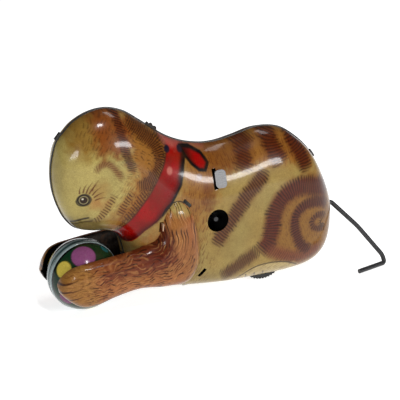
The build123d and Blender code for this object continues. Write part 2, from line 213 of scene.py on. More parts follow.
def inside(x, z, points):
    """Whether each point lies inside a polygon."""
    pts = np.array(points, float)
    odd = np.zeros(x.shape, bool)
    for (x0, z0), (x1, z1) in zip(pts, np.roll(pts, -1, axis=0)):
        cross = (z0 > z) != (z1 > z)
        odd ^= cross & (x < (x1 - x0) * (z - z0) / (z1 - z0 + 1e-12) + x0)
    return odd


def fade(d, edge, soft):
    """1 where d is below edge, falling to 0 above it over a width of soft."""
    return np.clip((edge + soft / 2 - d) / soft, 0, 1)


def hashed(n):
    """A repeatable scattered value between 0 and 1 for each number."""
    return (np.sin(n * 127.1 + 11.7) * 43758.5453) % 1.0


def cloud(x, z, scale, seed=0.0):
    """Smooth value noise between 0 and 1."""
    u, v = x / scale + seed * 17.3, z / scale + seed * 9.1
    iu, iv = np.floor(u), np.floor(v)
    fu, fv = u - iu, v - iv
    fu, fv = fu * fu * (3 - 2 * fu), fv * fv * (3 - 2 * fv)
    h = lambda a, b: hashed(a * 1.37 + b * 57.31 + seed * 3.3)
    return ((h(iu, iv) * (1 - fu) + h(iu + 1, iv) * fu) * (1 - fv)
            + (h(iu, iv + 1) * (1 - fu) + h(iu + 1, iv + 1) * fu) * fv)


class Print:
    """Coloured layers laid over each other at the given points."""

    def __init__(self, x, z, ground):
        self.x, self.z = x, z
        self.rgb = np.broadcast_to(ground, (len(x), 3)).copy()

    def lay(self, colour, amount):
        """Covers the points with a colour by an amount from 0 to 1."""
        amount = np.clip(amount, 0, 1)[:, None]
        self.rgb = self.rgb * (1 - amount) + colour * amount

    def blob(self, colour, points, soft, strength=1.0):
        """A filled shape with a soft, slightly ragged edge."""
        pts = smooth_line(list(points) + [points[0]])
        d, _, _ = to_line(self.x, self.z, pts)
        d = np.where(inside(self.x, self.z, pts), -d, d)
        ragged = soft * 0.5 * (cloud(self.x, self.z, 2.0, 3) - 0.5)
        self.lay(colour, fade(d + ragged, 0, soft) * strength)

    def stroke(self, colour, points, width, soft=0.5, strength=1.0, taper=False):
        """A drawn line, thinner towards its end if it tapers."""
        pts = smooth_line(points)
        d, along, _ = to_line(self.x, self.z, pts)
        size = np.sum(np.hypot(*np.diff(pts, axis=0).T))
        wide = width / 2 * (np.clip(1.15 - along / size, 0.15, 1) if taper else 1)
        self.lay(colour, fade(d, wide, soft) * strength)

    def band(self, colour, points, width, soft, strength, dash, dash_colour, seed, lean=0.0, pitch=1.7):
        """A wide soft stripe along a line, feathered into fine hairs across it."""
        pts = smooth_line(points)
        d, along, side = to_line(self.x, self.z, pts)
        size = np.sum(np.hypot(*np.diff(pts, axis=0).T))
        ends = np.clip(np.minimum(along, size - along) / 5, 0, 1)
        ends = np.where((along <= 0) | (along >= size), 0, ends ** 0.6)
        cell = (along + lean * d * side) / pitch + 0.35 * (cloud(self.x, self.z, 3, seed) - 0.5)
        number, part = np.floor(cell), cell - np.floor(cell)
        reach = width / 2 * (0.72 + 0.55 * hashed(number + 31 * (side > 0) + seed * 7))
        self.lay(colour, fade(d, width / 2 * (0.5 + 0.5 * ends), soft) * strength * ends)
        hair = np.clip(1.5 - np.abs(part - 0.5) * 4.6, 0, 1) * fade(d, reach, width * 0.16)
        self.lay(dash_colour, hair * dash * np.clip(ends * 1.5, 0, 1))

    def hairs(self, colour, mask, angle, pitch, length, strength, seed=0, waver=0.8, thick=0.3,
              along=None):
        """Short hairs over a region, at an angle (radians) or following given (along, across)."""
        c, s = np.cos(angle), np.sin(angle)
        u, v = along or (self.x * c + self.z * s, -self.x * s + self.z * c)
        v = v + waver * (cloud(self.x, self.z, 5, seed) - 0.5) * pitch * 2
        row = np.floor(v / pitch)
        u = u + hashed(row + seed * 13) * length * 2
        col = np.floor(u / length)
        pv = v / pitch - row - 0.5 + 0.3 * (hashed(col * 3 + row * 7 + seed) - 0.5)
        pu = u / length - col
        thick = thick * (1 - pu) + 0.06
        on = np.clip((thick - np.abs(pv)) * 7, 0, 1) * np.clip((0.9 - pu) * 6, 0, 1)
        on = on * np.clip(pu * 9, 0, 1) * (hashed(row * 5 + col * 11 + seed) > 0.22)
        self.lay(colour, on * mask * strength)


CREAM, OLIVE, OCHRE = lin(170, 150, 92), lin(134, 122, 72), lin(148, 92, 28)
BROWN, DARK, FUR = lin(86, 26, 6), lin(26, 6, 3), lin(66, 24, 12)
RED, DEEP_RED, PINK_HIGHLIGHT, INK = lin(156, 3, 2), lin(66, 1, 2), lin(196, 112, 104), lin(3, 2, 3)
YELLOW, REDDISH, PURPLE = lin(178, 132, 44), lin(92, 22, 6), lin(86, 32, 24)
VARNISH_SPECK = lin(90, 48, 14)

# Outlines of the print, as (x, z) on the body's side
COLLAR_FRONT = [(52.4, 104), (50.6, 96), (47.2, 89), (43.2, 83), (35.9, 72.8), (30.1, 65.4), (24.6, 58.2),
                (18.0, 50)]
COLLAR_BACK = [(14, 42), (24, 40), (32.8, 50.0), (40.6, 55.6), (49.0, 64.6), (56.7, 75.3), (60.3, 86.1),
               (63.5, 93.1), (68, 103)]
COLLAR = COLLAR_FRONT + COLLAR_BACK
HEAD = COLLAR_FRONT + [(14, 42), (-30, 42), (-30, 130), (52, 130)]
BOW = [(61.6, 95.5), (68.5, 93.8), (74.2, 90.2), (77, 84.6), (74.4, 80.6), (70.4, 81.4), (66.2, 85.4),
       (63.2, 90)]
EYE = [(-8.4, 74.0), (-7.2, 76.9), (-4.6, 78.5), (-1.8, 77.8), (-0.2, 75.0), (-1.6, 72.2), (-4.4, 71.2),
       (-7.2, 71.9)]
IRIS_AT = (-4.35, 74.9)
HIND_PAW = [(93, 3), (99, 8.6), (106, 12.9), (116, 14.2), (128, 12.6), (138, 8), (136, 3.4), (120, 1)]
HAUNCH_AT, HAUNCH_R = (141, 37), 29
WHORL_AT = (155, 34)      # the middle of the haunch's spiral
SHOULDER = [(43.7, 58.5), (45.8, 62.7), (49.9, 65.4), (55, 65.7), (57.5, 64.4)]
ARM_LINE = [(52, 70), (55, 58), (56.5, 46), (54, 35), (46, 26.5), (30, 24), (10, 22), (-10, 20), (-23, 20)]

# Patches: colour, outline, softness of the edge, strength
COAT_PATCHES = [
    (OCHRE, [(62, 99), (84, 92), (86, 76), (76, 62), (67, 44), (60, 20), (46, 8), (32, 16), (30, 44),
             (50, 60), (58, 80)], 12, 0.8),
    (OCHRE, [(70, 100), (100, 99), (130, 99), (150, 84), (149, 70), (126, 78), (98, 78), (78, 79)], 8, 0.85),
    (OCHRE, [(164, 62), (146, 66), (126, 62), (116, 46), (116, 24), (136, 8), (160, 14), (168, 38)], 9, 0.7),
]
HEAD_PATCHES = [
    (OCHRE, [(28, 126), (46, 112), (56, 98), (44, 80), (36, 70), (26, 58), (18, 46), (10, 52), (13, 62),
             (20, 72), (25, 84), (23, 98), (20, 112)], 11, 0.9),
    (lin(138, 96, 26), [(-12, 106), (-8, 118), (4, 128), (16, 126), (14, 108), (6, 104), (0, 100),
                        (-6, 101)], 9, 0.8),
    (lin(132, 62, 16), [(4, 116), (8, 126), (20, 128), (26, 118), (26, 106), (17, 98), (11, 102), (9, 96),
                        (5, 104)], 6, 0.85),
]
FACE_PATCHES = [
    (lin(104, 92, 54), [(-17, 64), (-10, 61.5), (0, 62.5), (8, 58), (14, 50), (4, 44), (-12, 50)], 5, 0.85),
    (lin(170, 116, 62), [(-3, 73), (3, 75), (9, 72.5), (6, 68.5), (0, 69)], 5, 0.7),
    (OCHRE, [(-2, 79), (4, 85), (10, 84), (9, 77), (3, 75)], 6, 0.4),
]
ARM_PATCHES = [
    # the first patch, cream on the shoulder's top, is a painted highlight
    (lin(178, 160, 100), [(44, 62), (50, 69), (60, 69), (64, 62), (60, 58), (52, 59)], 4, 0.85),
    (lin(176, 128, 62), [(63, 60), (69, 46), (70, 24), (62, 12), (52, 10), (60, 20), (64.5, 34),
                         (64, 48)], 3, 0.9),
    (lin(84, 26, 10), [(40, 52), (45, 52), (49, 42), (46, 33), (34, 32), (24, 36), (20, 42),
                       (38, 46)], 5, 0.9),
    (lin(164, 118, 58), [(-24, 18), (-20, 30), (-10, 38), (-2, 34), (-3, 24), (0, 12), (-6, 5),
                         (-18, 8)], 6, 0.8),
    (lin(120, 48, 22), [(-6, 38), (8, 40), (24, 41), (36, 42), (33, 35), (20, 32), (4, 32),
                        (-4, 32)], 4, 0.5),
    (lin(96, 28, 10), [(6, 24), (26, 26), (40, 26), (50, 32), (42, 38), (26, 35), (4, 31)], 5, 0.75),
    (lin(178, 112, 64), [(6, 17), (24, 15), (40, 14), (50, 18), (42, 22), (24, 21), (8, 21)], 5, 0.6),
]

# Bands: colour, line, width, softness, strength, strength of the hairs across it, their colour,
# seed, then how far the hairs lean and their pitch where these aren't the usual ones
COAT_BANDS = [
    (BROWN, [(106.5, 99), (101.8, 91), (100.1, 83), (98.6, 76)], 10.5, 5, 0.85, 0.8, DARK, 2, 0.3),
    (BROWN, [(121, 101), (119.8, 93), (121.3, 86), (125.5, 77)], 12, 5, 0.9, 0.8, DARK, 3, 0.3),
    (BROWN, [(135, 96), (137.2, 88), (141, 80), (144.6, 69)], 11.5, 5, 0.9, 0.8, DARK, 4, 0.3),
    (REDDISH, [(113, 77), (109.5, 71.2), (98, 60.4), (91.2, 51.5), (83.9, 42.4), (78, 33)], 9.5, 4.5, 0.8,
     0.95, DARK, 5, 0.15),
    (REDDISH, [(163, 53), (155.7, 56.6), (146, 60), (138, 61.5), (129, 59.6), (122, 54.6), (118, 46.9),
               (116.8, 38.6), (114.5, 30), (108, 23)], 11.5, 4.5, 0.92, 0.9, DARK, 6),
    (BROWN, [(108, 26), (102.7, 21.9), (92.8, 15.8), (84, 9.5)], 9.5, 5, 0.75, 0.85, DARK, 9, 0.9),
    (lin(122, 56, 38), [(113, 26), (121, 20.5), (132, 15.5), (144, 14), (156, 19)], 8.5, 5, 0.75, 0.5, FUR,
     19),
    (PURPLE, [(161, 44), (154.8, 47.6), (144, 49.3), (136, 46), (133, 39.7), (134.7, 30.9), (138.6, 22.4),
              (147, 17)], 6.8, 3.2, 0.9, 0.85, DARK, 7),
    (PURPLE, [(159, 37), (152.5, 39.6), (147, 37.6), (147.4, 33.0), (152.5, 30.2), (159, 30)], 4.2, 2.6, 0.7,
     0.9, DARK, 8),
]
HEAD_BANDS = [
    (BROWN, [(20, 126), (20.5, 113), (21.3, 104), (23, 96), (27, 88)], 5.2, 3.2, 0.7, 0.9, DARK, 10, 0.5,
     1.3),
    (BROWN, [(26, 118), (37, 107.4), (43.6, 99.4), (45.0, 91.3), (41.0, 84.7), (34.9, 80.0),
             (28.6, 77.6)], 8.4, 4, 0.62, 0.95, DARK, 11, 0.3, 1.3),
    (BROWN, [(45, 108), (50.4, 101), (51.5, 95)], 4, 3, 0.6, 0.8, DARK, 12, 0.4),
    (BROWN, [(41, 81), (36, 74.5), (29, 66), (22, 57.5), (17, 49)], 3.4, 2.6, 0.3, 0.95, FUR, 13, 1.0, 1.3),
    (OCHRE, [(35, 76), (29, 69.5), (24, 62.5), (20.5, 58)], 5.5, 3.5, 0.5, 0.9, FUR, 14, 0.2),
    (OCHRE, [(25, 76.5), (20.6, 69.5), (17, 61.5)], 5.0, 3.0, 0.45, 0.95, FUR, 15, 0.2),
    (OCHRE, [(13.8, 76.5), (10, 69), (5.6, 62.2), (1.5, 59)], 4.6, 2.6, 0.45, 0.95, FUR, 16, 0.2),
    (lin(128, 86, 42), [(2.6, 90.6), (6.0, 95), (10.6, 95.4), (14, 92.3), (17, 88), (19, 84)], 3.8, 2.8, 0.8,
     0.6, BROWN, 17, 0.8),
]
LASHES = [((-6.6, 79.2), (-5.8, 83.2)), ((-4.6, 79.8), (-2.6, 84.6)), ((-2.9, 79.4), (0.6, 85.4)),
          ((-1.2, 78.9), (3.2, 84.2)), ((0.6, 77.8), (5.6, 82.2)), ((1.6, 76.2), (7.6, 79.0)),
          ((0.4, 80.6), (4.4, 86.6)), ((2.4, 74.4), (8.4, 75.4))]
TOES = [[(-22.5, 24.2), (-17.5, 26.2), (-12, 28.6)], [(-22.5, 19.4), (-17, 21.2), (-11, 22.6)],
        [(-19.0, 13.6), (-14.5, 16.0), (-10, 17.8)]]


def paint_coat(p):
    """The striped coat behind the head, with the haunch's spiral and the folded hind paw."""
    x, z = p.x, p.z
    p.lay(OLIVE, 0.5 * cloud(x, z, 22, 1) + 0.25 * cloud(x, z, 7, 2))
    p.lay(YELLOW, 0.28 * cloud(x, z, 17, 5))
    for patch in COAT_PATCHES:
        p.blob(*patch)
    haunch = fade(np.hypot(x - HAUNCH_AT[0], z - HAUNCH_AT[1]), HAUNCH_R, 6)
    p.lay(lin(132, 92, 34), haunch * 0.55)
    p.blob(BROWN, [(74, 96), (88, 96), (96, 98), (96, 84), (92, 79), (78, 80)], 7, 0.3)
    for band in COAT_BANDS:
        p.band(*band)
    for k in range(7):
        a = math.radians(100 + 34 * k)
        root = (WHORL_AT[0] + 1.2 * math.cos(a), WHORL_AT[1] + 1.2 * math.sin(a))
        tip = (WHORL_AT[0] + 4.2 * math.cos(a + 0.3), WHORL_AT[1] + 4.6 * math.sin(a + 0.3))
        p.stroke(DARK, [root, tip], 0.8, 0.5, 0.8, True)
    p.blob(lin(196, 178, 128), HIND_PAW, 2.5, 0.95)
    p.stroke(DARK, HIND_PAW[:6], 0.9, 0.5, 0.9)
    for toe in (101.5, 107.5, 113.5):
        p.stroke(DARK, [(toe, 8.4), (toe + 1.2, 5.2), (toe - 0.4, 2.4)], 0.8, 0.5, 0.85, True)
    flank = fade(-x, -56, 10) * fade(x, 78, 14)
    p.hairs(BROWN, flank * fade(z, 76, 10), math.radians(75), 1.5, 6.5, 0.6, 1)
    p.hairs(BROWN, fade(-z, -76, 4) * fade(-x, -62, 8), math.radians(97), 1.4, 6.0, 0.5, 2)
    p.hairs(FUR, haunch, math.radians(112), 1.5, 4.5, 0.38, 3)
    p.blob(REDDISH, [(71, 73), (78, 72), (78, 60), (74, 56), (70, 62)], 4, 0.5)
    p.hairs(FUR, fade(z, 16, 6) * fade(-x, -84, 8), math.radians(22), 1.6, 6.0, 0.35, 12)


def paint_head(p):
    """The head's ground, crown, crest, cheeks, mouth and eye, and the fringe along the collar."""
    x, z = p.x, p.z
    p.lay(lin(200, 184, 112), np.ones_like(x))
    p.lay(lin(158, 146, 88), 0.3 + 0.4 * cloud(x, z, 13, 7))
    for patch in HEAD_PATCHES:
        p.blob(*patch)
    crown = fade(np.hypot(x - 12, (z - 113) * 1.1), 17, 8)
    p.hairs(DARK, crown, math.radians(60), 1.7, 5.0, 0.4, 18)
    for band in HEAD_BANDS:
        p.band(*band)
    for patch in FACE_PATCHES:
        p.blob(*patch)
    p.stroke(INK, [(-12, 57.6), (-8.5, 59.9), (-5.2, 61.9), (-1.2, 62.9)], 1.2, 0.7, 0.95)
    p.stroke(DARK, [(-8, 57.5), (-4.4, 59.9), (1, 60.4)], 1.0, 0.7, 0.7)
    for a, b in LASHES:
        p.stroke(BROWN, [a, ((a[0] + b[0]) / 2 - 0.3, (a[1] + b[1]) / 2 + 0.3), b], 0.8, 0.5, 0.95, True)
    paint_eye(p)
    cheek = fade(-x, -16, 14)
    p.hairs(FUR, cheek * fade(z, 84, 12), math.radians(58), 1.6, 4.2, 0.65, 4, thick=0.22)
    p.hairs(DARK, cheek * fade(-z, -84, 8), math.radians(-35), 1.5, 5.0, 0.6, 5, thick=0.22)
    fringe, _, _ = to_line(x, z, COLLAR_FRONT)
    p.hairs(DARK, fade(fringe, 3.0, 1.5), math.radians(-28), 1.25, 3.4, 0.7, 6)


def paint_eye(p):
    """An almond outline round a ringed iris, with a dark pupil and its glint."""
    p.blob(lin(150, 140, 96), EYE, 0.5, 0.9)
    rim, _, _ = to_line(p.x, p.z, smooth_line(EYE + EYE[:1]))
    p.lay(INK, fade(rim, 0.45, 0.5) * 0.85)
    far = np.hypot(p.x - IRIS_AT[0], p.z - IRIS_AT[1])
    p.lay(lin(176, 166, 120), fade(far, 3.0, 0.4))
    p.lay(INK, fade(np.abs(far - 3.1), 0.5, 0.5))
    p.lay(lin(56, 36, 18), fade(far, 1.9, 0.4))
    p.lay(INK, fade(np.abs(far - 1.8), 0.4, 0.4))
    p.lay(INK, fade(far, 1.0, 0.4))
    p.lay(lin(236, 232, 216), fade(np.hypot(p.x + 5.0, p.z - 75.6), 0.55, 0.4))


def paint_collar(p):
    """The red collar with its dark back edge, the bow behind it, and two studs, with a pink highlight along
    its top and a pink reflection spot, both painted.
    """
    x, z = p.x, p.z
    p.blob(RED, COLLAR, 0.7, 1)
    back, _, _ = to_line(x, z, COLLAR_BACK)
    on = inside(x, z, COLLAR).astype(float)
    p.lay(DEEP_RED, on * fade(back, 2.6, 3.4) * 0.85)
    p.lay(INK, fade(back, 0.9, 0.7) * fade(-z, -56, 14))
    p.lay(INK, on * fade(back, 2.4, 1.6) * fade(-z, -76, 8) * 0.8)
    p.lay(DEEP_RED, on * fade(-cloud(x, z, 6, 9), -0.5, 0.4) * 0.35)
    front, _, _ = to_line(x, z, COLLAR_FRONT)
    p.lay(DEEP_RED, fade(front, 0.5, 0.7) * 0.8)
    # painted highlight: a pink sheen over the collar's top along the seam
    p.blob(PINK_HIGHLIGHT, [(48, 110), (50, 101), (54, 96.5), (63, 95), (76, 92.5), (84, 98), (66, 106)], 4, 0.65)
    p.blob(DEEP_RED, BOW, 0.6, 1)
    edge, _, _ = to_line(x, z, BOW, True)
    p.lay(RED, inside(x, z, BOW) * fade(-edge, -1.4, 1.2) * fade(-x, -67, 5))
    p.lay(INK, fade(edge, 0.85, 0.6))
    for stud_x, stud_z, r in ((51.1, 96.4, 2.1), (60.4, 94.3, 1.9)):
        p.lay(lin(24, 22, 44), fade(np.hypot(x - stud_x, z - stud_z), r, 0.8))
    # painted reflection: a pink spot on the collar
    p.lay(PINK_HIGHLIGHT, fade(np.hypot((x - 50.2) * 1.2, z - 84.6), 2.2, 1.2) * 0.9)
    p.lay(lin(150, 140, 150), fade(np.hypot(x - 69.6, z - 77.6), 1.8, 1.2) * 0.6)


def paint_body(x, z):
    """Colours of the body's side at x and z: the print, with the collar's painted highlight and reflection.
    """
    body = Print(x, z, CREAM)
    paint_coat(body)
    head = Print(x, z, body.rgb)
    paint_head(head)
    body.rgb = np.where(inside(x, z, HEAD)[:, None], head.rgb, body.rgb)
    paint_collar(body)
    body.lay(VARNISH_SPECK, 0.14 * cloud(x, z, 1.6, 21) ** 2)
    body.stroke(INK, SHOULDER, 0.85, 0.5, 0.95)
    return body.rgb


def paint_arm(x, z):
    """Colours of a front leg's side at x and z: hairs along the leg, the toes, and a painted highlight on
    the shoulder.
    """
    p = Print(x, z, lin(160, 108, 64))
    p.lay(lin(160, 88, 58), 0.6 * cloud(x, z, 9, 31))
    p.lay(OCHRE, 0.55 * cloud(x, z, 12, 32))
    off, along, side = to_line(x, z, smooth_line(ARM_LINE))
    across = off * side
    for patch in ARM_PATCHES:
        p.blob(*patch)
    upper = fade(-z, -36, 10) * fade(-x, -36, 8)
    lower = 1 - upper
    forearm = lower * fade(-x, 8, 14)
    # colour, where, pitch, length, strength, seed, waver, thickness, shift across
    for colour, mask, pitch, length, strength, seed, waver, thick, shift in (
            (lin(206, 152, 96), upper, 1.75, 16, 0.55, 35, 0.6, 0.2, 0.9),
            (lin(44, 15, 8), upper, 1.75, 20, 1.0, 33, 0.6, 0.24, 0),
            (lin(44, 14, 6), forearm, 1.8, 9, 0.95, 36, 1.0, 0.27, 0),
            (lin(92, 34, 14), forearm, 1.7, 5, 0.6, 37, 1.3, 0.3, 0),
            (lin(196, 140, 84), lower, 2.4, 9, 0.4, 38, 1.2, 0.22, 0),
            (lin(96, 44, 18), fade(x, -4, 10), 2.4, 7, 0.5, 39, 1.0, 0.2, 0)):
        p.hairs(colour, mask, 0, pitch, length, strength, seed, waver, thick, (along, across + shift))
    for toe in TOES:
        p.stroke(lin(60, 24, 10), toe, 1.3, 0.6, 0.95, True)
    p.lay(VARNISH_SPECK, 0.14 * cloud(x, z, 1.6, 36) ** 2)
    return p.rgb


# ---------------------------------------------------------------- materials
def nodes_of(name):
    """A new material with its node tree and its main shader."""
    m = bpy.data.materials.new(name)
    m.use_nodes = True
    t = m.node_tree
    bsdf = next(n for n in t.nodes if n.type == "BSDF_PRINCIPLED")
    return m, t, bsdf


def add(t, kind, **values):
    """A new node, with the given sockets or settings."""
    n = t.nodes.new(kind)
    for k, v in values.items():
        if k in n.inputs:
            n.inputs[k].default_value = v
        else:
            setattr(n, k, v)
    return n


def noise(t, scale, detail=4.0, rough=0.6, stretch=None):
    """Noise over the object, finer along the directions where it is stretched."""
    place = add(t, "ShaderNodeTexCoord").outputs["Object"]
    n = add(t, "ShaderNodeTexNoise", Scale=scale, Detail=detail, Roughness=rough)
    if stretch:
        m = add(t, "ShaderNodeMapping", Scale=stretch)
        t.links.new(place, m.inputs["Vector"])
        place = m.outputs["Vector"]
    t.links.new(place, n.inputs["Vector"])
    return n


def ramp(t, source, *stops):
    """A colour ramp with stops of (position, colour)."""
    r = add(t, "ShaderNodeValToRGB")
    e = r.color_ramp.elements
    while len(e) < len(stops):
        e.new(0.5)
    for k, (at, colour) in enumerate(stops):
        e[k].position = at
        e[k].color = (*colour, 1)
    t.links.new(source, r.inputs["Fac"])
    return r


def bumped(t, bsdf, source, strength, distance):
    """Relief on a shader from a height socket, distance in metres."""
    b = add(t, "ShaderNodeBump", Strength=strength, Distance=distance)
    t.links.new(source, b.inputs["Height"])
    t.links.new(b.outputs["Normal"], bsdf.inputs["Normal"])


def mixed(t, factor, one, two, blend="MIX"):
    """The colour two laid over the colour one; each input is a value, a colour or a socket."""
    m = add(t, "ShaderNodeMix", data_type="RGBA", blend_type=blend)
    for socket, value in ((m.inputs[0], factor), (m.inputs[6], one), (m.inputs[7], two)):
        if isinstance(value, (int, float)):
            socket.default_value = value
        elif isinstance(value, tuple):
            socket.default_value = (*value, 1)
        else:
            t.links.new(value, socket)
    return m.outputs[2]


def litho(name, rough=0.3, coat=0.95):
    """Printed tin under varnish: the print, its fine grain, scuffs, and slight dents."""
    m, t, bsdf = nodes_of(name)
    print_ = add(t, "ShaderNodeVertexColor", layer_name="print")
    grain = noise(t, 1500, 5, 0.7)
    tone = ramp(t, grain.outputs["Fac"], (0.3, (0.48, 0.45, 0.40)), (0.7, (0.74, 0.71, 0.63)))
    col = mixed(t, 1.0, print_.outputs["Color"], tone.outputs["Color"], "MULTIPLY")
    stain = noise(t, 60, 5, 0.65)
    aged = ramp(t, stain.outputs["Fac"], (0.46, (0, 0, 0)), (0.78, (0.3, 0.3, 0.3)))
    col = mixed(t, aged.outputs["Color"], col, (0.08, 0.03, 0.008))
    scuff = noise(t, 420, 6, 0.75, (1.0, 1.0, 3.5))
    worn = ramp(t, scuff.outputs["Fac"], (0.71, (0, 0, 0)), (0.77, (0.4, 0.4, 0.4)))
    col = mixed(t, worn.outputs["Color"], col, (0.45, 0.37, 0.24))
    t.links.new(col, bsdf.inputs["Base Color"])
    r = ramp(t, stain.outputs["Fac"], (0.3, (rough * 0.8,) * 3), (0.7, (rough * 1.3,) * 3))
    t.links.new(r.outputs["Color"], bsdf.inputs["Roughness"])
    bsdf.inputs["Specular IOR Level"].default_value = 0.08
    bsdf.inputs["Coat Weight"].default_value = coat
    bsdf.inputs["Coat IOR"].default_value = 1.22
    bsdf.inputs["Coat Roughness"].default_value = 0.09
    dents = noise(t, 26, 3, 0.5)
    bumped(t, bsdf, dents.outputs["Fac"], 0.16, 0.004)
    return m


def metal(name, dark, light, rough, grain=900, stretch=None, metallic=1.0, rust=0.0):
    """Worn metal: colour and roughness vary with the grain, with spots of rust."""
    m, t, bsdf = nodes_of(name)
    g = noise(t, grain, 5, 0.65, stretch)
    col = ramp(t, g.outputs["Fac"], (0.3, dark), (0.7, light)).outputs["Color"]
    if rust:
        spots = noise(t, 160, 6, 0.7)
        mask = ramp(t, spots.outputs["Fac"], (0.56, (0, 0, 0)), (0.7, (rust,) * 3))
        col = mixed(t, mask.outputs["Color"], col, (0.12, 0.05, 0.02))
    t.links.new(col, bsdf.inputs["Base Color"])
    r = ramp(t, g.outputs["Fac"], (0.3, (rough * 0.75,) * 3), (0.75, (rough * 1.3,) * 3))
    t.links.new(r.outputs["Color"], bsdf.inputs["Roughness"])
    bsdf.inputs["Metallic"].default_value = metallic
    bumped(t, bsdf, g.outputs["Fac"], 0.15, 0.0004)
    return m


MAT_BODY = litho("litho_body")
MAT_ARM = litho("litho_arm_print", 0.36, 0.7)
MAT_BALL = litho("litho_ball_print", 0.22, 0.8)
# inner skins, cut edges, leg cups and ball insides: bare tin with rust spots, made near black as painted
# shade
MAT_BARE_SHADE = metal("bare_inside_painted_shade", (0.012, 0.010, 0.009), (0.05, 0.044, 0.04), 0.4, 500, rust=0.4)
# the seam rim's near black is painted shade of the gap along the seam
MAT_SEAM_SHADE = metal("seam_painted_shade", (0.004, 0.004, 0.003), (0.016, 0.014, 0.012), 0.4, 700, metallic=0.2)
MATERIALS = {
    # the seam clips are made near black as painted shade of their edge-on sides
    "clip_tin": metal("clip_painted_shade", (0.005, 0.005, 0.004), (0.02, 0.018, 0.016), 0.5, 900, metallic=0.2),
    "ear_felt": metal("ear_dark", (0.008, 0.006, 0.005), (0.03, 0.024, 0.02), 0.9, 2200, metallic=0.0),
    "plate_steel": metal("plate_steel", (0.05, 0.05, 0.05), (0.16, 0.16, 0.155), 0.4, 600, (1, 1, 8),
                         rust=0.3),
    "bright_steel": metal("bright_steel", (0.38, 0.38, 0.38), (0.62, 0.62, 0.61), 0.3, 1200, (1, 9, 1)),
    "spring_steel": metal("spring_steel", (0.07, 0.08, 0.11), (0.2, 0.21, 0.25), 0.3, 900, (1, 9, 1)),
    "gear_brass": metal("gear_brass", (0.42, 0.27, 0.09), (0.7, 0.5, 0.2), 0.33, 900, rust=0.2),
    "zinc": metal("zinc", (0.004, 0.004, 0.004), (0.016, 0.016, 0.016), 0.7, 700, metallic=0.1),
    "tail_black": metal("tail_black", (0.003, 0.003, 0.004), (0.014, 0.014, 0.015), 0.45, 900, metallic=0.1),
    "lever_tin": metal("lever_tin", (0.06, 0.06, 0.065), (0.20, 0.20, 0.20), 0.5, 420, (1, 1, 8), rust=0.25),
}


# ---------------------------------------------------------------- meshes
class Builder:
    """Points, faces, face materials and print colours gathered for one piece."""

    def __init__(self):
        self.points, self.faces, self.kinds, self.colours = [], [], [], []

    def add(self, points, faces, kind, colours):
        """Adds faces of one kind (or a kind for each), and one colour or a colour for each point."""
        base = len(self.points)
        self.points += [tuple(p) for p in points]
        self.faces += [tuple(base + int(i) for i in f) for f in faces]
        self.kinds += [kind] * len(faces) if isinstance(kind, int) else list(kind)
        self.colours += [tuple(c) for c in (colours if len(colours) == len(points)
                                            else [colours] * len(points))]

    def make(self, name, materials, flip, body, node):
        """The object, mirrored in the seam if flipped, that replaces a CAD node."""
        pts = np.array(self.points)
        if flip:
            pts[:, 1] *= -1
        mesh = bpy.data.meshes.new(name)
        faces = [f[::-1] for f in self.faces] if flip else self.faces
        mesh.from_pydata(((pts + ORIGIN) / 1000).tolist(), [], faces)
        for m in materials:
            mesh.materials.append(m)
        mesh.polygons.foreach_set("material_index", self.kinds)
        mesh.polygons.foreach_set("use_smooth", [True] * len(faces))
        layer = mesh.color_attributes.new("print", "FLOAT_COLOR", "POINT")
        rgba = np.ones((len(pts), 4))
        rgba[:, :3] = self.colours
        layer.data.foreach_set("color", rgba.ravel())
        mesh.validate()
        mesh.set_sharp_from_angle(angle=math.radians(40))
        o = bpy.data.objects.new(name, mesh)
        bpy.context.collection.objects.link(o)
        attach(o, body)
        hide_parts(node)


